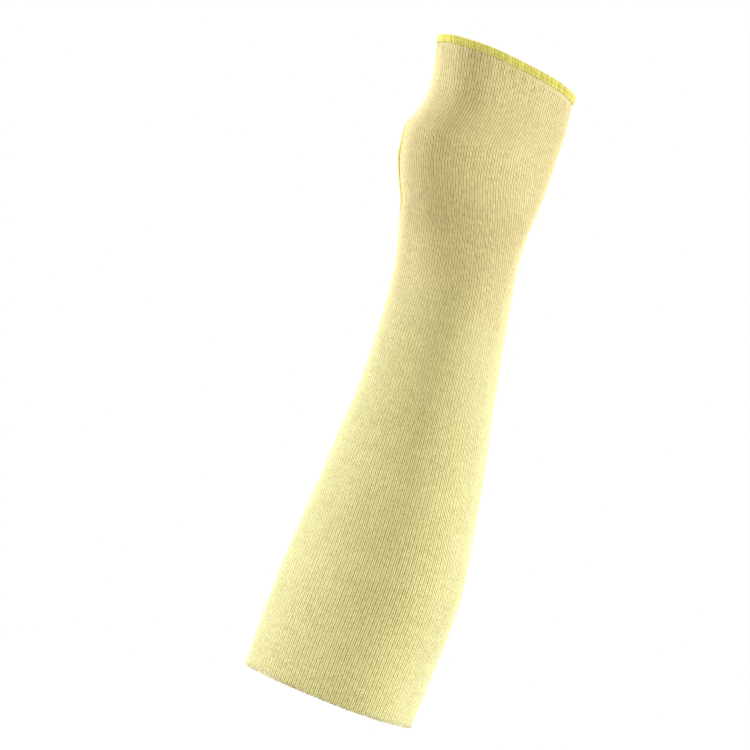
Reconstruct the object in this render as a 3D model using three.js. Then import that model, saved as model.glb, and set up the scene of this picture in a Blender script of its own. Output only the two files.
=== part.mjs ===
// A cut resistant sleeve: a seamless knitted tube that keeps the form it has on an arm, with a thumb hole
// near its hand end. Thread edgings wrap the hand end and the rim of the hole. The arm end is the knit's
// own edge.
// Millimetres. +Z runs from the middle of the arm opening to the middle of the hand opening, the thumb hole
// faces -X, and the breadth of the forearm lies along X. The side at -Y is called the front.

import * as THREE from 'three';

// Lengths along the sleeve
const SLEEVE_LENGTH = 356;
const HAND_EDGE_RISE = 13;
const ARM_EDGE_RISE = 9;
const ARM_EDGE_BLEND = 60;

// The clear opening of the thumb hole, inside its edging, and the wrist below it
const THUMB_OPENING_HEIGHT = 60;
const THUMB_OPENING_WIDTH = 34;
const THUMB_OPENING_BELOW_HAND_END = 32;
const WRIST_BELOW_THUMB_OPENING = 33;

// Girths: breadth and thickness of the knit's outer face, along X and Y where a section isn't turned
const FOREARM_BREADTH = 100.4;
const FOREARM_THICKNESS = 81.6;
const WRIST_BREADTH = 66.8;
const WRIST_THICKNESS = 59;
const PALM_BREADTH = 86.8;
const PALM_THICKNESS = 50;
const HAND_BREADTH = 83.4;
const HAND_THICKNESS = 53.5;

// Squareness of a section, where 2 is an ellipse and more is boxier. On the little finger's side it is the
// same all along the sleeve.
const LITTLE_FINGER_SQUARENESS = 2.15;

// How far the hand's sections are turned about Z, in degrees, with their thumb end towards the front
const HAND_TURN = 40;

const KNIT_WALL = 1.4;

// Edging: its reach over the cloth, the thread's thickness on each side, and its clearance to the knit
const OVERLOCK_REACH = 3.6;
const OVERLOCK_THREAD = 0.8;
const OVERLOCK_CLEARANCE = 0.35;

// How finely the surfaces are divided
const WALE_STEPS = 56;
const ROWS_BELOW_HOLE = 16;
const ROWS_BESIDE_HOLE = 14;
const ROWS_ABOVE_HOLE = 4;
const OVERLOCK_ARC_STEPS = 6;
const OUTLINE_SAMPLES = 120;
const HALVINGS = 24;

// Places that follow from the sizes above. The hole is the one in the cloth, which the edging makes smaller
const EDGE_ROOM = OVERLOCK_CLEARANCE + OVERLOCK_THREAD;
const HOLE_HALF_HEIGHT = THUMB_OPENING_HEIGHT / 2 + EDGE_ROOM;
const HOLE_HALF_WIDTH = THUMB_OPENING_WIDTH / 2 + EDGE_ROOM;
const HOLE_CENTRE = SLEEVE_LENGTH - THUMB_OPENING_BELOW_HAND_END - THUMB_OPENING_HEIGHT / 2;
const HOLE_BOTTOM = HOLE_CENTRE - HOLE_HALF_HEIGHT;
const HOLE_TOP = HOLE_CENTRE + HOLE_HALF_HEIGHT;
const WRIST_HEIGHT = HOLE_CENTRE - THUMB_OPENING_HEIGHT / 2 - WRIST_BELOW_THUMB_OPENING;

// Sections of the outer face from the arm to the hand. up is a share of the stretch that the row belongs to:
// forearm and wrist rows count from the arm end to the wrist, heel rows from the wrist to the hole, palm rows
// from the middle of the hole to its end, and hand rows from the hole to the hand end. breadth and thickness
// are shares of the girth that the row belongs to. shift, a share of that breadth, is how far the middle lies
// towards +X. turn is a share of HAND_TURN. full is how much thicker than its middle the section is at its
// thumb end, and thinner at the other end, and square is its squareness there. The first and last rows lie
// past the ends, which slant.
const SECTIONS = [
  forearm({ up: -0.046, breadth: 0.97, thickness: 0.97, shift: -0.012 }),
  forearm({ up: 0.0, breadth: 0.978, thickness: 0.975, shift: -0.002 }),
  forearm({ up: 0.092, breadth: 0.988, thickness: 1.0, shift: 0.018 }),
  forearm({ up: 0.185, breadth: 1.0, thickness: 1.0, shift: 0.038 }),
  forearm({ up: 0.277, breadth: 0.995, thickness: 0.985, shift: 0.056 }),
  forearm({ up: 0.354, breadth: 0.97, thickness: 0.972, shift: 0.067 }),
  forearm({ up: 0.439, breadth: 0.918, thickness: 0.95, shift: 0.073 }),
  forearm({ up: 0.524, breadth: 0.872, thickness: 0.926, shift: 0.076 }),
  forearm({ up: 0.616, breadth: 0.82, thickness: 0.9, shift: 0.077 }),
  forearm({ up: 0.701, breadth: 0.76, thickness: 0.876, shift: 0.077 }),
  forearm({ up: 0.786, breadth: 0.718, thickness: 0.85, shift: 0.07 }),
  wrist({ up: 0.871, breadth: 1.037, thickness: 1.125, shift: 0.094 }),
  wrist({ up: 0.94, breadth: 1.012, thickness: 1.065, shift: 0.082 }),
  wrist({ up: 1.0, breadth: 0.998, thickness: 1.0, shift: 0.065, turn: 0.08 }),
  heel({ up: 0.46, breadth: 1.007, thickness: 0.932, shift: 0.04, turn: 0.22, full: 0.06 }),
  palm({ up: -1.1, breadth: 0.799, thickness: 1.04, shift: 0.01, turn: 0.36, full: 0.12, square: 2.2 }),
  palm({ up: -0.75, breadth: 0.831, thickness: 1.02, shift: 0.003, turn: 0.5, full: 0.18, square: 2.3 }),
  palm({ up: -0.41, breadth: 0.898, thickness: 1.02, shift: -0.014, turn: 0.65, full: 0.22, square: 2.35 }),
  palm({ up: -0.07, breadth: 0.958, thickness: 1.02, shift: -0.026, turn: 0.78, full: 0.25, square: 2.35 }),
  palm({ up: 0.28, breadth: 0.987, thickness: 1.02, shift: -0.023, turn: 0.88, full: 0.27, square: 2.35 }),
  palm({ up: 0.56, breadth: 0.997, thickness: 1.02, shift: -0.019, turn: 0.96, full: 0.28, square: 2.3 }),
  palm({ up: 0.85, breadth: 0.963, thickness: 1.0, shift: 0.008, turn: 1.0, full: 0.28, square: 2.25 }),
  hand({ up: 0.19, breadth: 0.976, thickness: 0.94, shift: 0.026, turn: 1.0, full: 0.27 }),
  hand({ up: 0.6, breadth: 0.974, thickness: 0.95, shift: 0.021, turn: 1.0, full: 0.25 }),
  hand({ up: 1.0, breadth: 1.001, thickness: 0.97, shift: 0.011, turn: 1.0, full: 0.22 }),
  hand({ up: 1.35, breadth: 1.012, thickness: 1.0, shift: 0.006, turn: 1.0, full: 0.2 }),
];

// How high the hand end stands round the hand. rise is a share of HAND_EDGE_RISE, and around is the share of
// the way round from the thumb side over the front.
const HAND_EDGE = [
  { around: 0.0, rise: 0.93 },
  { around: 0.12, rise: 0.98 },
  { around: 0.25, rise: 0.91 },
  { around: 0.38, rise: 0.67 },
  { around: 0.5, rise: 0.44 },
  { around: 0.62, rise: 0.17 },
  { around: 0.75, rise: 0.21 },
  { around: 0.88, rise: 0.7 },
  { around: 1.0, rise: 0.93 },
];

// A row in millimetres, on a stretch that starts at a height and has a span
function section(start, span, breadthSize, thicknessSize, shares) {
  return {
    height: start + shares.up * span,
    halfBreadth: (shares.breadth * breadthSize) / 2,
    halfThickness: (shares.thickness * thicknessSize) / 2,
    shift: shares.shift * breadthSize,
    turn: (shares.turn ?? 0) * THREE.MathUtils.degToRad(HAND_TURN),
    fullness: shares.full ?? 0,
    thumbSquareness: shares.square ?? LITTLE_FINGER_SQUARENESS,
  };
}

function forearm(shares) {
  return section(0, WRIST_HEIGHT, FOREARM_BREADTH, FOREARM_THICKNESS, shares);
}

function wrist(shares) {
  return section(0, WRIST_HEIGHT, WRIST_BREADTH, WRIST_THICKNESS, shares);
}

function heel(shares) {
  return section(WRIST_HEIGHT, HOLE_BOTTOM - WRIST_HEIGHT, WRIST_BREADTH, WRIST_THICKNESS, shares);
}

function palm(shares) {
  return section(HOLE_CENTRE, HOLE_HALF_HEIGHT, PALM_BREADTH, PALM_THICKNESS, shares);
}

function hand(shares) {
  return section(HOLE_TOP, SLEEVE_LENGTH - HOLE_TOP, HAND_BREADTH, HAND_THICKNESS, shares);
}

// A smooth line through a table's rows, which gives the named columns at a place
function smoothTable(rows, place, columns) {
  const places = rows.map((entry) => entry[place]);
  const values = rows.flatMap((entry) => columns.map((column) => entry[column]));
  const line = new THREE.CubicInterpolant(places, values, columns.length);
  return (at) => {
    const found = line.evaluate(at);
    return Object.fromEntries(columns.map((column, i) => [column, found[i]]));
  };
}

const girthColumns = ['halfBreadth', 'halfThickness', 'shift', 'turn', 'fullness', 'thumbSquareness'];
const girthAt = smoothTable(SECTIONS, 'height', girthColumns);
const handEdgeAt = smoothTable(HAND_EDGE, 'around', ['rise']);

// A point of a section at an angle from its thumb end, going over the front
function outlinePoint(girth, angle) {
  const along = Math.cos(angle);
  const across = Math.sin(angle);
  const squareness = along > 0 ? girth.thumbSquareness : LITTLE_FINGER_SQUARENESS;
  const x = -girth.halfBreadth * Math.sign(along) * Math.abs(along) ** (2 / squareness);
  const fuller = 1 + girth.fullness * along;
  const y = -girth.halfThickness * fuller * Math.sign(across) * Math.abs(across) ** (2 / squareness);
  const [c, s] = [Math.cos(girth.turn), Math.sin(girth.turn)];
  return [girth.shift + x * c - y * s, x * s + y * c];
}

// The angle at which a section crosses the plane y = 0 on the thumb side, found by halving
function thumbSideAngle(girth) {
  let low = -Math.PI / 2;
  let high = Math.PI / 2;
  for (let i = 0; i < HALVINGS; i += 1) {
    const middle = (low + high) / 2;
    if (outlinePoint(girth, middle)[1] > 0) low = middle;
    else high = middle;
  }
  return (low + high) / 2;
}

// The outline of the section at height z, ready to be walked by length from the thumb side over the front
function outlineAt(z) {
  const girth = girthAt(z);
  const start = thumbSideAngle(girth);
  const walked = [0];
  let [lastX, lastY] = outlinePoint(girth, start);
  for (let i = 1; i <= OUTLINE_SAMPLES; i += 1) {
    const [x, y] = outlinePoint(girth, start + (2 * Math.PI * i) / OUTLINE_SAMPLES);
    walked.push(walked[i - 1] + Math.hypot(x - lastX, y - lastY));
    [lastX, lastY] = [x, y];
  }
  return { girth, start, walked, around: walked[OUTLINE_SAMPLES] };
}

// The point of an outline at a length from the thumb side, which may be negative or more than a full round
function pointAtLength({ girth, start, walked, around }, length) {
  const wanted = THREE.MathUtils.euclideanModulo(length, around);
  let i = 1;
  while (walked[i] < wanted) i += 1;
  const part = (wanted - walked[i - 1]) / (walked[i] - walked[i - 1]);
  return outlinePoint(girth, start + (2 * Math.PI * (i - 1 + part)) / OUTLINE_SAMPLES);
}

// The place on the knit's outer face at a share of the way round and a height z
function facePoint(share, z) {
  const outline = outlineAt(z);
  const [x, y] = pointAtLength(outline, share * outline.around);
  return new THREE.Vector3(x, y, z);
}

// The outward normal there
function faceNormal(share, z) {
  const shareStep = 0.004;
  const heightStep = 1;
  const round = facePoint(share + shareStep, z).sub(facePoint(share - shareStep, z));
  const up = facePoint(share, z + heightStep).sub(facePoint(share, z - heightStep));
  return round.cross(up).normalize();
}

// A point that lies out from the outer face by a distance, or inside it where that is negative
function placed(share, z, out) {
  return facePoint(share, z).addScaledVector(faceNormal(share, z), out);
}

// Half of the hole's width at height z, measured along the cloth
function holeHalfWidth(z) {
  const level = (z - HOLE_CENTRE) / HOLE_HALF_HEIGHT;
  return HOLE_HALF_WIDTH * Math.sqrt(Math.max(0, 1 - level * level));
}

// The share of the way round at which a wale lies at height z, where the wales make room for the hole
function waleShare(wale, z) {
  const room = holeHalfWidth(z) / outlineAt(z).around;
  return room + (1 - 2 * room) * wale;
}

// How far the arm end and the hand end stand off their mean height at a wale
function armEdgeOffset(wale) {
  return (ARM_EDGE_RISE / 2) * Math.cos(2 * Math.PI * wale);
}

function handEdgeOffset(wale) {
  return HAND_EDGE_RISE * (handEdgeAt(wale).rise - 0.5);
}

// The height at which a wale crosses a course. The courses slant near the ends, and course is the mean height
function courseHeight(course, wale) {
  const nearArm = 1 - THREE.MathUtils.smoothstep(course, 0, ARM_EDGE_BLEND);
  const nearHand = THREE.MathUtils.smoothstep(course, HOLE_TOP, SLEEVE_LENGTH);
  return course + nearArm * armEdgeOffset(wale) + nearHand * handEdgeOffset(wale);
}

function evenSteps(from, to, steps) {
  return Array.from({ length: steps }, (_, i) => from + ((to - from) * i) / steps);
}

// Beside the hole the courses crowd towards its round ends
function stepsBesideHole() {
  const turns = evenSteps(0, Math.PI, ROWS_BESIDE_HOLE);
  return turns.map((turn) => HOLE_CENTRE - HOLE_HALF_HEIGHT * Math.cos(turn));
}

// The courses at which the knit is divided. One lies just past each end of the hole's edging
const EDGING_BOTTOM = HOLE_BOTTOM - OVERLOCK_REACH - EDGE_ROOM;
const EDGING_TOP = HOLE_TOP + OVERLOCK_REACH + EDGE_ROOM;
const COURSES = [
  ...evenSteps(0, EDGING_BOTTOM, ROWS_BELOW_HOLE),
  EDGING_BOTTOM,
  ...stepsBesideHole(),
  HOLE_TOP,
  ...evenSteps(EDGING_TOP, SLEEVE_LENGTH, ROWS_ABOVE_HOLE),
  SLEEVE_LENGTH,
];
const FIRST_BESIDE_HOLE = COURSES.findIndex((course) => course > HOLE_BOTTOM);
const LAST_BESIDE_HOLE = COURSES.findIndex((course) => course >= HOLE_TOP) - 1;

// Collects the points and triangles of one closed body
class Body {
  constructor() {
    this.points = [];
    this.faces = [];
  }

  add(point) {
    return this.points.push(point) - 1;
  }

  // Four points in order, split along the shorter diagonal
  quad(a, b, c, d) {
    const [pointA, pointB, pointC, pointD] = [a, b, c, d].map((number) => this.points[number]);
    if (pointA.distanceTo(pointC) <= pointB.distanceTo(pointD)) this.faces.push(a, b, c, a, c, d);
    else this.faces.push(a, b, d, b, c, d);
  }

  geometry() {
    const geometry = new THREE.BufferGeometry().setFromPoints(this.points);
    geometry.setIndex(this.faces);
    geometry.computeVertexNormals();
    return geometry;
  }
}

// One face of the knit, as a row of point numbers for each course. Beside the hole the first and last wale
// are its two lips, and elsewhere they are the same point.
function knitFace(body, out) {
  return COURSES.map((course, j) => {
    const beside = j >= FIRST_BESIDE_HOLE && j <= LAST_BESIDE_HOLE;
    const numbers = [];
    for (let i = 0; i <= WALE_STEPS; i += 1) {
      const wale = i / WALE_STEPS;
      const z = courseHeight(course, wale);
      const joins = i === WALE_STEPS && !beside;
      numbers.push(joins ? numbers[0] : body.add(placed(waleShare(wale, z), z, out)));
    }
    return numbers;
  });
}

// The tube: an outer and an inner face, joined round both ends and along the lips of the hole
function knitTube() {
  const body = new Body();
  const outer = knitFace(body, 0);
  const inner = knitFace(body, -KNIT_WALL);
  const last = COURSES.length - 1;
  const lip = WALE_STEPS;
  for (let j = 0; j < last; j += 1) {
    for (let i = 0; i < WALE_STEPS; i += 1) {
      body.quad(outer[j][i], outer[j][i + 1], outer[j + 1][i + 1], outer[j + 1][i]);
      body.quad(inner[j][i], inner[j + 1][i], inner[j + 1][i + 1], inner[j][i + 1]);
    }
  }
  for (let i = 0; i < WALE_STEPS; i += 1) {
    body.quad(outer[0][i], inner[0][i], inner[0][i + 1], outer[0][i + 1]);
    body.quad(outer[last][i], outer[last][i + 1], inner[last][i + 1], inner[last][i]);
  }
  for (let j = FIRST_BESIDE_HOLE - 1; j <= LAST_BESIDE_HOLE; j += 1) {
    body.quad(outer[j][0], outer[j + 1][0], inner[j + 1][0], inner[j][0]);
    body.quad(outer[j][lip], inner[j][lip], inner[j + 1][lip], outer[j + 1][lip]);
  }
  return body.geometry();
}

// The edging's section, a U that straddles the edge of the cloth. out is measured from the cloth's outer face
// and past from its edge, so the cloth lies where out is from -KNIT_WALL to 0 and past is below 0.
function overlockSection() {
  const middle = -KNIT_WALL / 2;
  const innerHalf = KNIT_WALL / 2 + OVERLOCK_CLEARANCE;
  const outerHalf = innerHalf + OVERLOCK_THREAD;
  const crown = EDGE_ROOM - outerHalf;
  const points = [{ out: middle - outerHalf, past: -OVERLOCK_REACH }];
  for (let i = 0; i <= OVERLOCK_ARC_STEPS; i += 1) {
    const angle = Math.PI - (Math.PI * i) / OVERLOCK_ARC_STEPS;
    points.push({ out: middle + outerHalf * Math.cos(angle), past: crown + outerHalf * Math.sin(angle) });
  }
  points.push({ out: middle + outerHalf, past: -OVERLOCK_REACH });
  points.push({ out: middle + innerHalf, past: -OVERLOCK_REACH });
  points.push({ out: middle + innerHalf, past: OVERLOCK_CLEARANCE });
  points.push({ out: middle - innerHalf, past: OVERLOCK_CLEARANCE });
  points.push({ out: middle - innerHalf, past: -OVERLOCK_REACH });
  return points;
}

// A closed edging: its section is carried round by stations, each of which places a point of the section
function overlock(stations) {
  const body = new Body();
  const points = overlockSection();
  const rings = stations.map((station) => points.map((point) => body.add(station(point))));
  rings.forEach((ring, i) => {
    const next = rings[(i + 1) % rings.length];
    ring.forEach((number, k) => {
      const after = (k + 1) % ring.length;
      body.quad(number, ring[after], next[after], next[k]);
    });
  });
  return body.geometry();
}

// The edging of the hand end has a station at each wale of the knit
function handEndOverlock() {
  const stations = evenSteps(0, 1, WALE_STEPS).map((wale) => {
    const edge = courseHeight(SLEEVE_LENGTH, wale);
    return ({ out, past }) => placed(wale, edge + past, out);
  });
  return overlock(stations);
}

// The edging of the thumb hole has a station at each course of the knit's two lips
function thumbHoleOverlock() {
  const stations = evenSteps(0, 2 * Math.PI, 2 * ROWS_BESIDE_HOLE).map((turn) => {
    const length = HOLE_HALF_WIDTH * Math.sin(turn);
    const z = HOLE_CENTRE - HOLE_HALF_HEIGHT * Math.cos(turn);
    const inwards = new THREE.Vector2(-Math.sin(turn) / HOLE_HALF_WIDTH, Math.cos(turn) / HOLE_HALF_HEIGHT);
    inwards.normalize();
    return ({ out, past }) => {
      const height = z + inwards.y * past;
      return placed((length + inwards.x * past) / outlineAt(height).around, height, out);
    };
  });
  return overlock(stations);
}

const knit = new THREE.MeshStandardMaterial({ color: 0xe4da9f, roughness: 0.95, metalness: 0 });
const thread = new THREE.MeshStandardMaterial({ color: 0xd9d45f, roughness: 0.7, metalness: 0 });

function piece(name, geometry, material) {
  const mesh = new THREE.Mesh(geometry, material);
  mesh.name = name;
  return mesh;
}

const group = new THREE.Group();
group.add(piece('knit_tube', knitTube(), knit));
group.add(piece('hand_end_overlock', handEndOverlock(), thread));
group.add(piece('thumb_hole_overlock', thumbHoleOverlock(), thread));

export default group;
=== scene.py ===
"""The looks of a cut resistant sleeve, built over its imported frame.

Sizes are in millimetres until they are placed.
"""

import math

import bpy
import numpy as np
from mathutils import Matrix, Vector


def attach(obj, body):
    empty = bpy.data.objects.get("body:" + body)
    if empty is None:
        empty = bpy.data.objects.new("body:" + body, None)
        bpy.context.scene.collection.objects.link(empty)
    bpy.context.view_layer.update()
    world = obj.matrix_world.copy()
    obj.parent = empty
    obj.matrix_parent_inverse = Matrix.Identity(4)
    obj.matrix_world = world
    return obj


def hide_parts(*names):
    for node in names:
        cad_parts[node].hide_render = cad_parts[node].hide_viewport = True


METRES = 0.001

# The sizes of the frame, repeated from the part
SLEEVE_LENGTH = 356.0
HAND_EDGE_RISE = 13.0
ARM_EDGE_RISE = 9.0
ARM_EDGE_BLEND = 60.0
FOREARM = (100.4, 81.6)
WRIST = (66.8, 59.0)
PALM = (86.8, 50.0)
HAND = (83.4, 53.5)
SQUARENESS = 2.15
HAND_TURN = math.radians(40)
KNIT_WALL = 1.4
EDGE_ROOM = 1.15
HOLE_HALF_HEIGHT = 30.0 + EDGE_ROOM
HOLE_HALF_WIDTH = 17.0 + EDGE_ROOM
HOLE_CENTRE = 294.0
HOLE_BOTTOM = HOLE_CENTRE - HOLE_HALF_HEIGHT
HOLE_TOP = HOLE_CENTRE + HOLE_HALF_HEIGHT
WRIST_HEIGHT = 231.0

# Where each stretch of sections starts, how long it is, and its girth
STRETCHES = {
    "forearm": (0.0, WRIST_HEIGHT, FOREARM),
    "wrist": (0.0, WRIST_HEIGHT, WRIST),
    "heel": (WRIST_HEIGHT, HOLE_BOTTOM - WRIST_HEIGHT, WRIST),
    "palm": (HOLE_CENTRE, HOLE_HALF_HEIGHT, PALM),
    "hand": (HOLE_TOP, SLEEVE_LENGTH - HOLE_TOP, HAND),
}

# Sections of the outer face: stretch, place on it, breadth, thickness, shift, turn as a share of the
# hand's, how much fuller the section is at its thumb end than in its middle, and its squareness there
SECTIONS = [
    ("forearm", -0.046, 0.97, 0.97, -0.012, 0.0, 0.0, SQUARENESS),
    ("forearm", 0.0, 0.978, 0.975, -0.002, 0.0, 0.0, SQUARENESS),
    ("forearm", 0.092, 0.988, 1.0, 0.018, 0.0, 0.0, SQUARENESS),
    ("forearm", 0.185, 1.0, 1.0, 0.038, 0.0, 0.0, SQUARENESS),
    ("forearm", 0.277, 0.995, 0.985, 0.056, 0.0, 0.0, SQUARENESS),
    ("forearm", 0.354, 0.97, 0.972, 0.067, 0.0, 0.0, SQUARENESS),
    ("forearm", 0.439, 0.918, 0.95, 0.073, 0.0, 0.0, SQUARENESS),
    ("forearm", 0.524, 0.872, 0.926, 0.076, 0.0, 0.0, SQUARENESS),
    ("forearm", 0.616, 0.82, 0.9, 0.077, 0.0, 0.0, SQUARENESS),
    ("forearm", 0.701, 0.76, 0.876, 0.077, 0.0, 0.0, SQUARENESS),
    ("forearm", 0.786, 0.718, 0.85, 0.07, 0.0, 0.0, SQUARENESS),
    ("wrist", 0.871, 1.037, 1.125, 0.094, 0.0, 0.0, SQUARENESS),
    ("wrist", 0.94, 1.012, 1.065, 0.082, 0.0, 0.0, SQUARENESS),
    ("wrist", 1.0, 0.998, 1.0, 0.065, 0.08, 0.0, SQUARENESS),
    ("heel", 0.46, 1.007, 0.932, 0.04, 0.22, 0.06, SQUARENESS),
    ("palm", -1.1, 0.799, 1.04, 0.01, 0.36, 0.12, 2.2),
    ("palm", -0.75, 0.831, 1.02, 0.003, 0.5, 0.18, 2.3),
    ("palm", -0.41, 0.898, 1.02, -0.014, 0.65, 0.22, 2.35),
    ("palm", -0.07, 0.958, 1.02, -0.026, 0.78, 0.25, 2.35),
    ("palm", 0.28, 0.987, 1.02, -0.023, 0.88, 0.27, 2.35),
    ("palm", 0.56, 0.997, 1.02, -0.019, 0.96, 0.28, 2.3),
    ("palm", 0.85, 0.963, 1.0, 0.008, 1.0, 0.28, 2.25),
    ("hand", 0.19, 0.976, 0.94, 0.026, 1.0, 0.27, SQUARENESS),
    ("hand", 0.6, 0.974, 0.95, 0.021, 1.0, 0.25, SQUARENESS),
    ("hand", 1.0, 1.001, 0.97, 0.011, 1.0, 0.22, SQUARENESS),
    ("hand", 1.35, 1.012, 1.0, 0.006, 1.0, 0.2, SQUARENESS),
]

# How high the hand end stands round the hand: share of the way round, share of its rise
HAND_EDGE = [
    (0.0, 0.93), (0.12, 0.98), (0.25, 0.91), (0.38, 0.67), (0.5, 0.44),
    (0.62, 0.17), (0.75, 0.21), (0.88, 0.7), (1.0, 0.93),
]

# The knit: wales round the arm, courses along it, and how each wale stands up from its groove
WALES = 122
COURSES = 340
COLUMNS_PER_WALE = 4
RIB_HEIGHTS = np.array([-0.2, 0.1, -0.02, 0.1])
ROWS_BELOW_HOLE = 92
ROWS_BESIDE_HOLE = 24
ROWS_ABOVE_HOLE = 14
SQUEEZE_DEPTH = 0.34
SQUEEZE_FROM = 6.5
SQUEEZE_TO = 3.2

# The edging threads
WRAP_PITCH = 1.0
WRAP_RADIUS = 0.36
WRAP_SIDES = 6
WRAP_SLANT = 0.9
WRAP_OUT = 0.84
CORE_OUT = 0.62
NEEDLE_PAST = -2.75
NEEDLE_PITCH = 2.1
NEEDLE_RADIUS = 0.17
CORE_PITCH = 1.6
WRAP_REACH = -3.55

# How often a value is halved in on
TURN_HALVINGS = 24
WALE_HALVINGS = 40

rng = np.random.default_rng(7)


def smooth(places, values, at):
    """A smooth line through a table's rows, whose slope at a row is the mean of the slopes beside it."""
    places = np.asarray(places, float)
    values = np.asarray(values, float)
    if values.ndim == 1:
        values = values[:, None]
    straight = np.diff(values, axis=0) / np.diff(places)[:, None]
    slopes = np.vstack([straight[:1], (straight[1:] + straight[:-1]) / 2, straight[-1:]])
    at = np.asarray(at, float)
    i = np.clip(np.searchsorted(places, at) - 1, 0, len(places) - 2)
    span = (places[i + 1] - places[i])[..., None]
    t = (at - places[i])[..., None] / span
    return (
        values[i] * (1 + 2 * t) * (1 - t) ** 2
        + values[i + 1] * t * t * (3 - 2 * t)
        + slopes[i] * span * t * (1 - t) ** 2
        + slopes[i + 1] * span * t * t * (t - 1)
    )


def smoothstep(value, low, high):
    t = np.clip((value - low) / (high - low), 0, 1)
    return t * t * (3 - 2 * t)


class Face:
    """The sleeve's smooth outer face, found by a share of the way round from the thumb side and a height."""

    STEP = 0.5
    FIRST = -20.0
    LAST = 384.0
    SHARES = 1440

    def __init__(self):
        heights, rows = [], []
        for stretch, up, breadth, thickness, shift, turn, fullness, squareness in SECTIONS:
            start, span, girth = STRETCHES[stretch]
            heights.append(start + up * span)
            rows.append([
                breadth * girth[0] / 2, thickness * girth[1] / 2, shift * girth[0],
                turn * HAND_TURN, fullness, squareness])
        levels = np.arange(self.FIRST, self.LAST, self.STEP)
        girths = smooth(heights, rows, np.clip(levels, heights[0], heights[-1]))
        angles = np.linspace(0, 2 * np.pi, 2 * self.SHARES + 1)
        wanted = np.linspace(0, 1, self.SHARES + 1)
        self.around = np.empty(len(levels))
        self.table = np.empty((len(levels), self.SHARES + 1, 2))
        for n, girth in enumerate(girths):
            x, y = self.outline(girth, angles + self.thumb_side_angle(girth))
            walked = np.concatenate([[0], np.cumsum(np.hypot(np.diff(x), np.diff(y)))])
            self.around[n] = walked[-1]
            self.table[n, :, 0] = np.interp(wanted, walked / walked[-1], x)
            self.table[n, :, 1] = np.interp(wanted, walked / walked[-1], y)

    @staticmethod
    def outline(girth, angles):
        """Points of a section at angles from its thumb end, going over the front."""
        half_breadth, half_thickness, shift, turn, fullness, squareness = girth
        along, across = np.cos(angles), np.sin(angles)
        power = 2 / np.where(along > 0, squareness, SQUARENESS)
        x = -half_breadth * np.sign(along) * np.abs(along) ** power
        y = -half_thickness * (1 + fullness * along) * np.sign(across) * np.abs(across) ** power
        return shift + x * math.cos(turn) - y * math.sin(turn), x * math.sin(turn) + y * math.cos(turn)

    @classmethod
    def thumb_side_angle(cls, girth):
        """The angle at which a section crosses the plane y = 0 on the thumb side, found by halving."""
        low, high = -math.pi / 2, math.pi / 2
        for _ in range(TURN_HALVINGS):
            middle = (low + high) / 2
            if cls.outline(girth, middle)[1] > 0:
                low = middle
            else:
                high = middle
        return (low + high) / 2

    def level(self, z):
        level = np.clip((z - self.FIRST) / self.STEP, 0, len(self.around) - 1.001)
        row = level.astype(int)
        return row, level - row

    def length_around(self, z):
        row, part = self.level(np.asarray(z, float))
        return self.around[row] * (1 - part) + self.around[row + 1] * part

    def point(self, share, z):
        share, z = np.broadcast_arrays(np.asarray(share, float), np.asarray(z, float))
        row, up = self.level(z)
        column = (share % 1.0) * self.SHARES
        left = np.minimum(column.astype(int), self.SHARES - 1)
        over = (column - left)[..., None]
        up = up[..., None]
        low = self.table[row, left] * (1 - over) + self.table[row, left + 1] * over
        high = self.table[row + 1, left] * (1 - over) + self.table[row + 1, left + 1] * over
        return np.concatenate([low * (1 - up) + high * up, z[..., None]], axis=-1)

    def normal(self, share, z):
        over, up = 0.003, 1.0
        round_it = self.point(share + over, z) - self.point(share - over, z)
        upwards = self.point(share, z + up) - self.point(share, z - up)
        normal = np.cross(round_it, upwards)
        return normal / np.linalg.norm(normal, axis=-1, keepdims=True)

    def placed(self, share, z, out):
        out = np.broadcast_to(out, np.broadcast(share, z).shape)
        return self.point(share, z) + self.normal(share, z) * out[..., None]


face = Face()


def hand_edge_offset(wale):
    places, rises = zip(*HAND_EDGE)
    return HAND_EDGE_RISE * (smooth(places, rises, np.asarray(wale) % 1.0)[..., 0] - 0.5)


def course_height(course, wale):
    """The height at which a wale crosses a course, as in the part."""
    near_arm = 1 - smoothstep(course, 0, ARM_EDGE_BLEND)
    near_hand = smoothstep(course, HOLE_TOP, SLEEVE_LENGTH)
    arm = ARM_EDGE_RISE / 2 * np.cos(2 * np.pi * wale)
    return course + near_arm * arm + near_hand * hand_edge_offset(wale)


def bow_stream(length, level):
    """A number that stays the same along a wale that bows round the hole, as a stream does round a pier."""
    a, b = HOLE_HALF_WIDTH, HOLE_HALF_HEIGHT
    c = math.sqrt(b * b - a * a)
    m = (np.hypot(length, level + c) + np.hypot(length, level - c)) / 2
    n = np.sqrt(np.maximum(m * m - c * c, 1e-9))
    return length / (2 * n) * ((m + n) - (m - n) * (b + a) / (b - a))


def hole_half_width(z):
    level = (z - HOLE_CENTRE) / HOLE_HALF_HEIGHT
    return HOLE_HALF_WIDTH * np.sqrt(np.maximum(0, 1 - level * level))


def wale_share(wale, z):
    """The share of the way round at which a wale, counted from 0 to 1, lies at height z."""
    wale, z = np.broadcast_arrays(np.asarray(wale, float), np.asarray(z, float))
    half = face.length_around(z) / 2
    level = z - HOLE_CENTRE
    folded = np.minimum(wale, 1 - wale)
    wanted = 2 * folded * bow_stream(half, level)
    low, high = hole_half_width(z), half.copy()
    for _ in range(WALE_HALVINGS):
        middle = (low + high) / 2
        over = bow_stream(middle, level) > wanted
        high = np.where(over, middle, high)
        low = np.where(over, low, middle)
    share = (low + high) / 2 / (2 * half)
    return np.where(wale <= 0.5, share, 1 - share)


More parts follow.
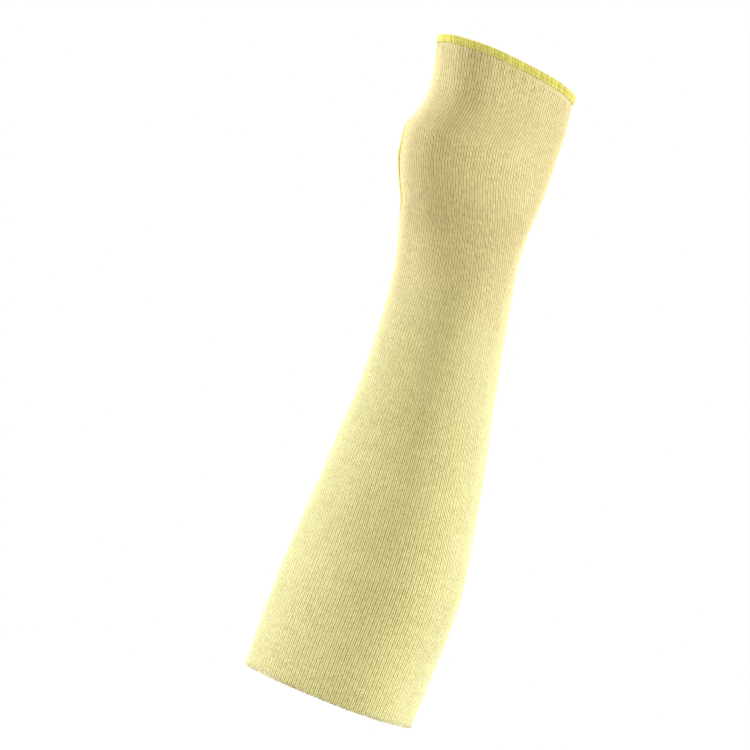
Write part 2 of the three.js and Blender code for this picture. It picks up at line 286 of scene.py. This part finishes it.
def distance_to_hole(share, z):
    """Roughly how far a point of the cloth lies from the rim of the hole."""
    length = np.minimum(share, 1 - share) * face.length_around(z)
    level = z - HOLE_CENTRE
    radius = np.hypot(length / HOLE_HALF_WIDTH, level / HOLE_HALF_HEIGHT)
    slope = np.hypot(length / HOLE_HALF_WIDTH**2, level / HOLE_HALF_HEIGHT**2) / np.maximum(radius, 1e-6)
    return (radius - 1) / slope


def make_object(name, points, faces, materials, uv=None, material_of_face=None, smooth_shading=True):
    """A mesh object in metres. uv holds one pair for each corner of each face."""
    mesh = bpy.data.meshes.new(name)
    mesh.from_pydata((np.asarray(points) * METRES).tolist(), [], faces)
    for material in materials:
        mesh.materials.append(material)
    if material_of_face is not None:
        mesh.polygons.foreach_set("material_index", material_of_face)
    if uv is not None:
        layer = mesh.uv_layers.new(name="threads")
        layer.data.foreach_set("uv", np.asarray(uv, np.float32).ravel())
    mesh.polygons.foreach_set("use_smooth", [smooth_shading] * len(mesh.polygons))
    mesh.validate()
    mesh.update()
    made = bpy.data.objects.new(name, mesh)
    bpy.context.scene.collection.objects.link(made)
    return made


# Materials


class Nodes:
    """A short way to write a material's nodes."""

    def __init__(self, name):
        self.material = bpy.data.materials.new(name)
        self.material.use_nodes = True
        self.tree = self.material.node_tree
        self.shader = self.tree.nodes["Principled BSDF"]

    def link(self, value, socket):
        if isinstance(value, bpy.types.NodeSocket):
            self.tree.links.new(value, socket)
        else:
            socket.default_value = value

    def math(self, operation, first, second=0.0, third=0.0):
        node = self.tree.nodes.new("ShaderNodeMath")
        node.operation = operation
        for socket, value in zip(node.inputs, (first, second, third)):
            self.link(value, socket)
        return node.outputs[0]

    def add(self, a, b):
        return self.math("ADD", a, b)

    def take(self, a, b):
        return self.math("SUBTRACT", a, b)

    def times(self, a, b):
        return self.math("MULTIPLY", a, b)

    def power(self, a, b):
        return self.math("POWER", a, b)

    def part(self, a):
        return self.math("FRACT", a)

    def hump(self, value, power):
        """A rise from 0 to 1 and back again as value goes from 0 to 1."""
        level = self.math("ABSOLUTE", self.take(self.times(value, 2.0), 1.0))
        return self.take(1.0, self.power(level, power))

    def spread(self, value, low, high, to_low=0.0, to_high=1.0):
        node = self.tree.nodes.new("ShaderNodeMapRange")
        node.interpolation_type = "SMOOTHSTEP"
        for name, setting in (("From Min", low), ("From Max", high), ("To Min", to_low), ("To Max", to_high)):
            node.inputs[name].default_value = setting
        self.link(value, node.inputs["Value"])
        return node.outputs["Result"]

    def uv(self):
        node = self.tree.nodes.new("ShaderNodeUVMap")
        node.uv_map = "threads"
        split = self.tree.nodes.new("ShaderNodeSeparateXYZ")
        self.tree.links.new(node.outputs["UV"], split.inputs[0])
        return split.outputs[0], split.outputs[1]

    def joined(self, x, y, z=0.0):
        node = self.tree.nodes.new("ShaderNodeCombineXYZ")
        for socket, value in zip(node.inputs, (x, y, z)):
            self.link(value, socket)
        return node.outputs[0]

    def random(self, x, y):
        node = self.tree.nodes.new("ShaderNodeTexWhiteNoise")
        node.noise_dimensions = "2D"
        self.tree.links.new(self.joined(x, y), node.inputs["Vector"])
        return node.outputs["Value"]

    def noise(self, scale, detail=2.0, vector=None):
        node = self.tree.nodes.new("ShaderNodeTexNoise")
        node.inputs["Scale"].default_value = scale
        node.inputs["Detail"].default_value = detail
        if vector is None:
            place = self.tree.nodes.new("ShaderNodeTexCoord")
            vector = place.outputs["Object"]
        self.tree.links.new(vector, node.inputs["Vector"])
        return node.outputs["Fac"]

    def blend(self, share, first, second):
        node = self.tree.nodes.new("ShaderNodeMix")
        node.data_type = "RGBA"
        self.link(share, node.inputs["Factor"])
        self.link(first, node.inputs[6])
        self.link(second, node.inputs[7])
        return node.outputs[2]

    def bump(self, height, distance, strength):
        node = self.tree.nodes.new("ShaderNodeBump")
        node.inputs["Distance"].default_value = distance
        node.inputs["Strength"].default_value = strength
        self.tree.links.new(height, node.inputs["Height"])
        self.tree.links.new(node.outputs["Normal"], self.shader.inputs["Normal"])

    def finish(self, color, roughness, sheen=0.0, sheen_tint=(1, 1, 1, 1), specular=0.5):
        self.link(color, self.shader.inputs["Base Color"])
        self.link(roughness, self.shader.inputs["Roughness"])
        self.shader.inputs["Sheen Weight"].default_value = sheen
        self.shader.inputs["Sheen Tint"].default_value = sheen_tint
        self.shader.inputs["Sheen Roughness"].default_value = 0.5
        self.shader.inputs["Specular IOR Level"].default_value = specular
        return self.material


# Yarn colors, the yarn's own and a painted shade for the gaps between stitches, at the forearm and at the hand
FOREARM_YARN = ((0.76, 0.71, 0.31, 1), (0.25, 0.205, 0.006, 1))
HAND_YARN = ((0.845, 0.725, 0.32, 1), (0.195, 0.125, 0.002, 1))
HAND_COLOR_FROM = 0.47
HAND_COLOR_TO = 0.74
SHEEN_TINT = (1.0, 1.0, 0.97, 1)


def yarn_color(nodes, course, light):
    """From the gaps' painted shade to the yarn's color by light, and slowly from the forearm's yellow to the
    hand's tan.
    """
    near_hand = nodes.spread(course, HAND_COLOR_FROM * COURSES, HAND_COLOR_TO * COURSES)
    yarn = nodes.blend(near_hand, FOREARM_YARN[0], HAND_YARN[0])
    # The gaps' color is painted shade, a dark color put where the holes between stitches fall in shadow
    gap_shade = nodes.blend(near_hand, FOREARM_YARN[1], HAND_YARN[1])
    return nodes.blend(light, gap_shade, yarn)


def knit_outside():
    """Plain jersey: the two legs of each stitch form a V, with painted shade in the gap between the stitches.
    """
    nodes = Nodes("knit_outside")
    wale, course = nodes.uv()
    across = nodes.math("ABSOLUTE", nodes.take(nodes.part(wale), 0.5))
    across = nodes.times(across, 2.0)
    slanted = nodes.take(course, nodes.times(across, 0.8))
    along = nodes.part(slanted)
    arch = nodes.hump(across, 2.0)
    hump = nodes.hump(along, 2.2)
    height = nodes.times(arch, nodes.add(0.45, nodes.times(hump, 0.55)))
    side = nodes.math("FLOOR", nodes.times(wale, 2.0))
    speck = nodes.random(side, nodes.math("FLOOR", slanted))
    streak = nodes.random(nodes.math("FLOOR", course), 3.5)
    cloud = nodes.noise(28.0, 3.0)
    fibres = nodes.noise(900.0, 2.0)
    # Painted shade: the grooves between wales are darkened, more deeply towards the hand
    groove_shade = nodes.spread(across, 0.5, 1.0)
    # The color follows each stitch's height, so it takes painted shade towards the gaps; specks, streaks,
    # clouds and fibres are random tone of the yarn
    light = nodes.add(nodes.times(height, 0.95), nodes.times(speck, 0.3))
    near_hand = nodes.spread(course, HAND_COLOR_FROM * COURSES, HAND_COLOR_TO * COURSES, 0.2, 0.44)
    light = nodes.take(light, nodes.times(groove_shade, near_hand))
    light = nodes.add(light, nodes.times(nodes.take(streak, 0.5), 0.06))
    light = nodes.add(light, nodes.times(nodes.take(cloud, 0.5), 0.3))
    light = nodes.add(light, nodes.times(nodes.take(fibres, 0.5), 0.25))
    color = yarn_color(nodes, course, nodes.spread(light, 0.0, 0.95))
    relief = nodes.add(height, nodes.times(fibres, 0.35))
    relief = nodes.add(relief, nodes.times(speck, 0.25))
    nodes.bump(relief, 0.00028, 0.8)
    return nodes.finish(color, 0.85, sheen=1.0, sheen_tint=SHEEN_TINT, specular=0.15)


def knit_inside():
    """The back of jersey: rows of small arcs that lie across the wales."""
    nodes = Nodes("knit_inside")
    wale, course = nodes.uv()
    across = nodes.math("ABSOLUTE", nodes.take(nodes.part(wale), 0.5))
    swing = nodes.times(nodes.times(across, across), 3.2)
    lifted = nodes.add(course, swing)
    along = nodes.part(lifted)
    hump = nodes.hump(along, 2.0)
    speck = nodes.random(nodes.math("FLOOR", wale), nodes.math("FLOOR", lifted))
    fibres = nodes.noise(900.0, 2.0)
    # The color follows the arcs' hump, so the dips between rows take painted shade; specks and fibres are
    # random tone
    light = nodes.add(nodes.times(hump, 0.7), nodes.times(speck, 0.25))
    light = nodes.add(light, nodes.times(nodes.take(fibres, 0.5), 0.2))
    color = yarn_color(nodes, course, nodes.spread(light, 0.0, 0.95))
    nodes.bump(nodes.add(hump, nodes.times(fibres, 0.3)), 0.0003, 0.8)
    return nodes.finish(color, 0.9, sheen=0.4, sheen_tint=SHEEN_TINT, specular=0.2)


def edging_thread():
    """Glossy yellow-green thread, twisted, darker where the needle pulls it in."""
    nodes = Nodes("edging_thread")
    along, across = nodes.uv()
    number = nodes.random(nodes.math("FLOOR", along), 1.5)
    twist = nodes.part(nodes.add(nodes.times(along, 2.0), nodes.times(across, 6.0)))
    strand = nodes.hump(twist, 2.0)
    fibres = nodes.noise(1500.0, 2.0)
    # Painted light and shade: the two colors below are the thread's lit and shaded tones, mixed by the twist's
    # plies, which puts painted shade between them, and by random tone per wrap and along the fibres
    light = nodes.add(nodes.times(strand, 0.4), nodes.times(number, 0.45))
    light = nodes.add(light, nodes.times(fibres, 0.3))
    color = nodes.blend(nodes.spread(light, 0.1, 0.95), (0.48, 0.42, 0.03, 1), (0.80, 0.745, 0.18, 1))
    nodes.bump(nodes.add(strand, nodes.times(fibres, 0.3)), 0.00012, 0.6)
    return nodes.finish(color, 0.5, sheen=0.2, sheen_tint=(1.0, 1.0, 0.7, 1), specular=0.4)


OUTSIDE = knit_outside()
INSIDE = knit_inside()
THREAD = edging_thread()


# The knit


def soft_unevenness(share, z):
    """Slow, shallow waves of the cloth, at most a few tenths of a millimetre."""
    turn = 2 * np.pi * share
    waves = (
        np.sin(3 * turn + 0.021 * z + 0.6) * np.sin(0.043 * z + 1.1)
        + 0.7 * np.sin(7 * turn - 0.034 * z + 2.1) * np.sin(0.071 * z + 0.4)
        + 0.4 * np.sin(12 * turn + 0.05 * z) * np.sin(0.11 * z + 2.0)
    )
    return 0.16 * waves


def knit_rows():
    """Heights of the mesh rows, with the hole's two ends among them."""
    below = np.linspace(0, HOLE_BOTTOM, ROWS_BELOW_HOLE + 1)[:-1]
    turns = np.linspace(0, np.pi, ROWS_BESIDE_HOLE + 1)
    beside = HOLE_CENTRE - HOLE_HALF_HEIGHT * np.cos(turns)
    above = np.linspace(HOLE_TOP, SLEEVE_LENGTH, ROWS_ABOVE_HOLE + 1)[1:]
    return np.concatenate([below, beside, above])


def knit_surface(wales, rows, inner):
    """Points of one face of the cloth, row by row, placed by where each lies round and along it."""
    wale, row = np.meshgrid(wales, rows)
    z = course_height(row, wale)
    share = wale_share(wale, z)
    to_hole = distance_to_hole(share, z)
    to_hand = SLEEVE_LENGTH + hand_edge_offset(wale) - z
    to_edging = np.minimum(to_hole, to_hand)
    squeeze = SQUEEZE_DEPTH * (1 - smoothstep(to_edging, SQUEEZE_TO, SQUEEZE_FROM))
    calm = smoothstep(to_edging, SQUEEZE_TO, SQUEEZE_FROM)
    puckers = 0.22 * np.exp(-((to_edging - 7.0) / 4.0) ** 2) * np.sin(2 * np.pi * wale * 31 + 0.25 * z)
    if inner:
        out = -KNIT_WALL + squeeze
    else:
        number = np.rint(wale * WALES * COLUMNS_PER_WALE).astype(int) % COLUMNS_PER_WALE
        out = -squeeze + RIB_HEIGHTS[number] * calm
    out = out + calm * (soft_unevenness(share, z) + puckers)
    return face.placed(share, z, out)


def build_knit():
    rows = knit_rows()
    fine = WALES * COLUMNS_PER_WALE
    outer = knit_surface(np.arange(fine + 1) / fine, rows, inner=False)
    inner = knit_surface(np.arange(WALES + 1) / WALES, rows, inner=True)
    beside = (rows > HOLE_BOTTOM + 1e-6) & (rows < HOLE_TOP - 1e-6)
    course = rows / SLEEVE_LENGTH * COURSES

    points, faces, uv, kinds = [], [], [], []

    def number_rows(grid):
        numbers = np.empty(grid.shape[:2], int)
        for j, line in enumerate(grid):
            last = len(line) if beside[j] else len(line) - 1
            numbers[j, :last] = np.arange(len(points), len(points) + last)
            if not beside[j]:
                numbers[j, last] = numbers[j, 0]
            points.extend(line[:last])
        return numbers

    def add(corners, places, kind):
        faces.append(corners)
        uv.extend(places)
        kinds.append(kind)

    outer_numbers = number_rows(outer)
    inner_numbers = number_rows(inner)
    for j in range(len(rows) - 1):
        low, high = course[j], course[j + 1]
        a, b = outer_numbers[j], outer_numbers[j + 1]
        for i in range(fine):
            left, right = i / COLUMNS_PER_WALE, (i + 1) / COLUMNS_PER_WALE
            add((a[i], a[i + 1], b[i + 1], b[i]), ((left, low), (right, low), (right, high), (left, high)), 0)
        a, b = inner_numbers[j], inner_numbers[j + 1]
        for i in range(WALES):
            add((a[i], b[i], b[i + 1], a[i + 1]), ((i, low), (i, high), (i + 1, high), (i + 1, low)), 1)
    # The rims of both ends, where each inner edge meets four outer ones
    for j, flip in ((0, False), (len(rows) - 1, True)):
        for i in range(WALES):
            o = [outer_numbers[j][COLUMNS_PER_WALE * i + k] for k in range(COLUMNS_PER_WALE + 1)]
            p, q = inner_numbers[j][i], inner_numbers[j][i + 1]
            for corners in ((o[1], o[0], p), (o[2], o[1], p), (o[2], p, q), (o[3], o[2], q), (o[4], o[3], q)):
                add(corners[::-1] if flip else corners, ((i, course[j]),) * 3, 0)
    # The lips of the hole
    for j in range(len(rows) - 1):
        if beside[j] or beside[j + 1]:
            for k, flip in ((0, False), (-1, True)):
                corners = (
                    outer_numbers[j][k], outer_numbers[j + 1][k], inner_numbers[j + 1][k], inner_numbers[j][k])
                add(corners[::-1] if flip else corners, ((0, course[j]),) * 4, 0)
    return make_object("sleeve_knit", points, faces, [OUTSIDE, INSIDE], uv, kinds)


# Threads


def tubes(lines, sides_way, radii, sides):
    """Closed tubes along lines, which is tubes x points x 3. sides_way is a direction across each point."""
    tangent = np.gradient(lines, axis=1)
    tangent /= np.linalg.norm(tangent, axis=2, keepdims=True)
    first = sides_way - (sides_way * tangent).sum(2, keepdims=True) * tangent
    first /= np.linalg.norm(first, axis=2, keepdims=True)
    second = np.cross(tangent, first)
    angle = 2 * np.pi * np.arange(sides) / sides
    ring = (
        first[:, :, None] * np.cos(angle)[:, None] + second[:, :, None] * np.sin(angle)[:, None]
    ) * radii[:, :, None, None]
    return lines[:, :, None] + ring


def tube_faces(count, rings, sides, start):
    """Faces of tubes whose points are numbered tube by tube and ring by ring."""
    faces = []
    for n in range(count):
        base = start + n * rings * sides
        for k in range(rings - 1):
            low, high = base + k * sides, base + (k + 1) * sides
            for i in range(sides):
                j = (i + 1) % sides
                faces.append((low + i, low + j, high + j, high + i))
        faces.append(tuple(base + i for i in reversed(range(sides))))
        end = base + (rings - 1) * sides
        faces.append(tuple(end + i for i in range(sides)))
    return faces


def tube_uv(count, rings, sides):
    """The number of each tube with the way round it, and the way along it, for each corner of tube_faces."""
    places = []
    for n in range(count):
        for k in range(rings - 1):
            for i in range(sides):
                left, right = n + i / sides, n + (i + 1) / sides
                low, high = k / rings, (k + 1) / rings
                places += [(left, low), (right, low), (right, high), (left, high)]
        places += [(n + 0.5, 0.0)] * sides
        places += [(n + 0.5, 1.0)] * sides
    return places


# One wrap's way over the edge of the cloth: how far past the edge, and how far out from the cloth's middle
WRAP_WAY = np.array([
    (WRAP_REACH, 0.62), (-3.3, 0.80), (-3.0, 0.72), (NEEDLE_PAST, 0.62), (-2.45, 0.80), (-1.9, WRAP_OUT),
    (-1.1, WRAP_OUT), (-0.4, WRAP_OUT), (0.15, 0.74), (0.52, 0.45), (0.66, 0.0), (0.52, -0.45), (0.15, -0.74),
    (-0.4, -WRAP_OUT), (-1.3, -WRAP_OUT), (-2.2, -WRAP_OUT), (-3.0, -0.78), (-3.4, -0.6),
])


def wraps(station, length):
    """Threads wound over an edge. station(place, past, out) gives a point, place from 0 to 1 along it."""
    count = int(round(length / WRAP_PITCH))
    place = (np.arange(count) + rng.uniform(-0.13, 0.13, count)) / count
    slant = (WRAP_SLANT + rng.uniform(-0.2, 0.2, count)) / length
    rise = rng.uniform(-0.12, 0.12, count)
    reach = rng.uniform(-0.16, 0.12, count)
    past = WRAP_WAY[:, 0] + np.where(WRAP_WAY[:, 0] > 0, rise[:, None], 0)
    past = past + np.where(WRAP_WAY[:, 0] < -3.2, reach[:, None], 0)
    out = np.broadcast_to(WRAP_WAY[:, 1], past.shape)
    share_over = np.linspace(1, -1, WRAP_WAY.shape[0])
    places = place[:, None] + slant[:, None] * share_over
    lines = station(places, past, out)
    ahead = station(places + 0.5 / length, past, out) - lines
    radii = np.full(past.shape, WRAP_RADIUS) * rng.uniform(0.9, 1.1, count)[:, None]
    radii[:, 0] *= 0.55
    radii[:, -1] *= 0.55
    return tubes(lines, ahead, radii, WRAP_SIDES)


def needle_stitches(station, length):
    """The needle's own small stitches, which lie in the dip of the wraps on the outer face."""
    count = int(round(length / NEEDLE_PITCH))
    place = (np.arange(count)[:, None] + np.linspace(0.08, 0.92, 6)) / count
    hump = np.sin(np.linspace(0, np.pi, 6))
    past = np.full(place.shape, NEEDLE_PAST) + rng.uniform(-0.06, 0.06, count)[:, None]
    out = 0.78 + 0.16 * hump[None, :] + np.zeros(place.shape)
    lines = station(place, past, out)
    outwards = station(place, past, out + 0.5) - lines
    return tubes(lines, outwards, np.full(place.shape, NEEDLE_RADIUS), 5)


def core(station, length):
    """The bed of thread under the wraps, which leaves no gap between them."""
    way = np.array([
        (-3.2, 0.42), (-3.2, CORE_OUT), (-1.5, CORE_OUT + 0.04), (-0.1, CORE_OUT), (0.3, 0.4), (0.42, 0.0),
        (0.3, -0.4), (-0.1, -CORE_OUT), (-1.5, -CORE_OUT - 0.04), (-3.2, -CORE_OUT), (-3.2, -0.42),
        (0.05, -0.42), (0.05, 0.42),
    ])
    count = int(round(length / CORE_PITCH))
    place = np.arange(count)[:, None] / count
    spare = np.zeros((count, 1))
    return station(place + np.zeros(len(way)), way[:, 0] + spare, way[:, 1] + spare)


def ring_faces(count, corners, start):
    """Faces of a closed band whose sections are numbered one after another."""
    faces = []
    for n in range(count):
        low, high = start + n * corners, start + (n + 1) % count * corners
        for i in range(corners):
            j = (i + 1) % corners
            faces.append((low + i, low + j, high + j, high + i))
    return faces


def build_edging(name, station, length):
    points, faces, uv = [], [], []
    for tube in (wraps(station, length), needle_stitches(station, length)):
        count, rings, sides, _ = tube.shape
        faces += tube_faces(count, rings, sides, len(points))
        uv += tube_uv(count, rings, sides)
        points += list(tube.reshape(-1, 3))
    bed = core(station, length)
    count, corners, _ = bed.shape
    faces += ring_faces(count, corners, len(points))
    for n in range(count):
        for i in range(corners):
            uv += [(n, i / corners), (n, (i + 1) / corners), (n + 1, (i + 1) / corners), (n + 1, i / corners)]
    points += list(bed.reshape(-1, 3))
    return make_object(name, points, faces, [THREAD], uv)


MIDDLE = -KNIT_WALL / 2


def hand_station(place, past, out):
    """A point on the edging of the hand end."""
    wale = place % 1.0
    z = SLEEVE_LENGTH + hand_edge_offset(wale) + past
    return face.placed(wale_share(wale, z), z, MIDDLE + out)


def hand_edge_length():
    line = hand_station(np.linspace(0, 1, 400), 0.0, 0.0)
    return np.linalg.norm(np.diff(line, axis=0), axis=1).sum()


HOLE_TURNS = np.linspace(0, 2 * np.pi, 721)
HOLE_WALKED = np.concatenate([[0], np.cumsum(np.hypot(
    np.diff(HOLE_HALF_WIDTH * np.sin(HOLE_TURNS)), np.diff(HOLE_HALF_HEIGHT * np.cos(HOLE_TURNS))))])
HOLE_AROUND = HOLE_WALKED[-1]


def hole_station(place, past, out):
    """A point on the edging of the thumb hole, whose place runs evenly round the rim."""
    turn = np.interp(place % 1.0, HOLE_WALKED / HOLE_AROUND, HOLE_TURNS)
    inwards = np.stack([-np.sin(turn) / HOLE_HALF_WIDTH, np.cos(turn) / HOLE_HALF_HEIGHT])
    inwards /= np.linalg.norm(inwards, axis=0)
    z = HOLE_CENTRE - HOLE_HALF_HEIGHT * np.cos(turn) + inwards[1] * past
    length = HOLE_HALF_WIDTH * np.sin(turn) + inwards[0] * past
    return face.placed(length / face.length_around(z), z, MIDDLE + out)


def build_cast_off():
    """The chain of small loops that ends the knit at the arm."""
    count = WALES
    steps = np.linspace(-0.1, 1.25, 8)
    place = (np.arange(count)[:, None] + steps + 0.08 * rng.standard_normal((count, 1))) / count
    swing = np.sin(np.linspace(-0.4, np.pi + 0.3, 8))
    past = 0.12 - 0.42 * swing + 0.05 * rng.standard_normal((count, 1))
    out = MIDDLE + 0.55 * np.cos(np.linspace(0, np.pi, 8)) + np.zeros(place.shape)
    wale = place % 1.0
    z = ARM_EDGE_RISE / 2 * np.cos(2 * np.pi * wale) + past
    lines = face.placed(wale_share(wale, z), z, out)
    ahead = face.placed(wale_share(wale, z + 0.5), z + 0.5, out) - lines
    tube = tubes(lines, ahead, np.full(place.shape, 0.36), 6)
    points = tube.reshape(-1, 3)
    faces, uv = tube_faces(count, 8, 6, 0), tube_uv(count, 8, 6)
    return make_object("arm_end_cast_off", points, faces, [CAST_OFF], uv)


def cast_off_yarn():
    nodes = Nodes("cast_off_yarn")
    along, across = nodes.uv()
    speck = nodes.random(nodes.math("FLOOR", along), 2.5)
    fibres = nodes.noise(1200.0, 2.0)
    light = nodes.add(nodes.times(speck, 0.5), nodes.times(fibres, 0.5))
    color = nodes.blend(nodes.spread(light, 0.1, 0.9), (0.42, 0.32, 0.10, 1), (0.78, 0.70, 0.38, 1))
    twist = nodes.part(nodes.add(nodes.times(along, 2.0), nodes.times(across, 5.0)))
    nodes.bump(nodes.add(twist, fibres), 0.0001, 0.5)
    return nodes.finish(color, 0.85, sheen=0.25, specular=0.2)


CAST_OFF = cast_off_yarn()


# Stage, lights and camera

AZIMUTH = 20.0
ELEVATION = -2.0
DISTANCE = 2000.0
TARGET = Vector((0.0, 0.0, 178.0))
ARM_END_PIXEL = Vector((328.9, 694.8))
HAND_END_PIXEL = Vector((506.5, 69.0))
PICTURE = 750.0
SENSOR = 36.0


def make_camera():
    """The photograph's view: both ends of the sleeve's axis fall on their places in the picture."""
    azimuth, elevation = math.radians(AZIMUTH), math.radians(ELEVATION)
    level = math.cos(elevation)
    toward = Vector((math.sin(azimuth) * level, -math.cos(azimuth) * level, math.sin(elevation)))
    right = Vector((math.cos(azimuth), math.sin(azimuth), 0.0))
    up = toward.cross(right)

    def seen(point):
        offset = point - TARGET
        away = DISTANCE - offset.dot(toward)
        return Vector((offset.dot(right), offset.dot(up))) * (DISTANCE / away)

    arm, hand = seen(Vector((0, 0, 0))), seen(Vector((0, 0, SLEEVE_LENGTH)))
    drawn = HAND_END_PIXEL - ARM_END_PIXEL
    scale = drawn.length / (hand - arm).length
    lean = math.atan2(drawn.x, -drawn.y) - math.atan2((hand - arm).x, (hand - arm).y)
    roll = Matrix.Rotation(-lean, 2)
    centre = roll @ (-arm) * scale
    centre = Vector((ARM_END_PIXEL.x + centre.x, ARM_END_PIXEL.y - centre.y))

    camera = bpy.data.objects.new("camera", bpy.data.cameras.new("camera"))
    bpy.context.scene.collection.objects.link(camera)
    turned_right = right * math.cos(lean) + up * math.sin(lean)
    turned_up = up * math.cos(lean) - right * math.sin(lean)
    camera.matrix_world = Matrix.Translation((TARGET + toward * DISTANCE) * METRES) @ Matrix((
        turned_right, turned_up, toward)).transposed().to_4x4()
    camera.data.sensor_width = SENSOR
    camera.data.lens = SENSOR * DISTANCE * scale / PICTURE
    camera.data.shift_x = (PICTURE / 2 - centre.x) / PICTURE
    camera.data.shift_y = (centre.y - PICTURE / 2) / PICTURE
    camera.data.clip_start, camera.data.clip_end = 0.05, 60.0
    bpy.context.scene.camera = camera


def area_light(name, azimuth, elevation, distance, width, height, watts, color):
    """A soft box that faces the middle of the sleeve. Azimuth is counted from the front towards the right."""
    a, e = math.radians(azimuth), math.radians(elevation)
    data = bpy.data.lights.new(name, "AREA")
    data.shape = "RECTANGLE"
    data.size, data.size_y = width, height
    data.energy = watts
    data.color = color
    light = bpy.data.objects.new(name, data)
    bpy.context.scene.collection.objects.link(light)
    way = Vector((math.sin(a) * math.cos(e), -math.cos(a) * math.cos(e), math.sin(e)))
    light.location = TARGET * METRES + way * distance
    light.rotation_mode = "QUATERNION"
    light.rotation_quaternion = way.to_track_quat("Z", "Y")


FLOOR_HEIGHT = -60.0
FLOOR_RADIUS = 700.0
WORLD_LIGHT = 0.82


def make_stage():
    nodes = Nodes("floor")
    grain = nodes.noise(3.0, 2.0)
    color = nodes.blend(nodes.times(grain, 0.1), (0.84, 0.84, 0.84, 1), (0.81, 0.81, 0.81, 1))
    floor_material = nodes.finish(color, 0.9, specular=0.1)
    turns = np.linspace(0, 2 * np.pi, 96, endpoint=False)
    rim = [(FLOOR_RADIUS * math.cos(turn), FLOOR_RADIUS * math.sin(turn), FLOOR_HEIGHT) for turn in turns]
    floor = make_object("floor", rim, [tuple(range(len(rim)))], [floor_material])

    world = bpy.data.worlds.new("studio")
    bpy.context.scene.world = world
    world.use_nodes = True
    tree = world.node_tree
    lit = tree.nodes["Background"]
    lit.inputs["Color"].default_value = (1, 1, 1, 1)
    lit.inputs["Strength"].default_value = WORLD_LIGHT
    shown = tree.nodes.new("ShaderNodeBackground")
    shown.inputs["Color"].default_value = (1, 1, 1, 1)
    shown.inputs["Strength"].default_value = 1.0
    path = tree.nodes.new("ShaderNodeLightPath")
    mix = tree.nodes.new("ShaderNodeMixShader")
    tree.links.new(path.outputs["Is Camera Ray"], mix.inputs[0])
    tree.links.new(lit.outputs[0], mix.inputs[1])
    tree.links.new(shown.outputs[0], mix.inputs[2])
    tree.links.new(mix.outputs[0], tree.nodes["World Output"].inputs[0])
    bpy.context.scene.view_settings.view_transform = "Standard"


# Putting it together

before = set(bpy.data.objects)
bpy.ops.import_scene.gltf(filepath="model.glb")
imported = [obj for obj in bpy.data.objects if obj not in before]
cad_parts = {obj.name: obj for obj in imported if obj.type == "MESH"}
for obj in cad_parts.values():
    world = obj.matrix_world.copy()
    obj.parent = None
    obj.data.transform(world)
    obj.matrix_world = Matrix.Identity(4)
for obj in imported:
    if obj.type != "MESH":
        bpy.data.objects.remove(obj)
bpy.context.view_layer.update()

knit = build_knit()
hand_edging = build_edging("hand_end_threads", hand_station, hand_edge_length())
hole_edging = build_edging("thumb_hole_threads", hole_station, HOLE_AROUND)
cast_off = build_cast_off()

for piece, node in (
    (knit, "knit_tube"),
    (hand_edging, "hand_end_overlock"),
    (hole_edging, "thumb_hole_overlock"),
):
    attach(piece, "root")
    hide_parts(node)
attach(cast_off, "root")

make_stage()
area_light("left_softbox", AZIMUTH - 99, 10, 1.6, 0.6, 1.6, 31.0, (1.0, 1.0, 1.0))
area_light("right_softbox", AZIMUTH + 87, 10, 1.6, 0.6, 1.6, 27.5, (1.0, 1.0, 1.0))
area_light("top_light", AZIMUTH, 85, 2.0, 1.0, 1.0, 12.0, (1.0, 1.0, 1.0))
make_camera()
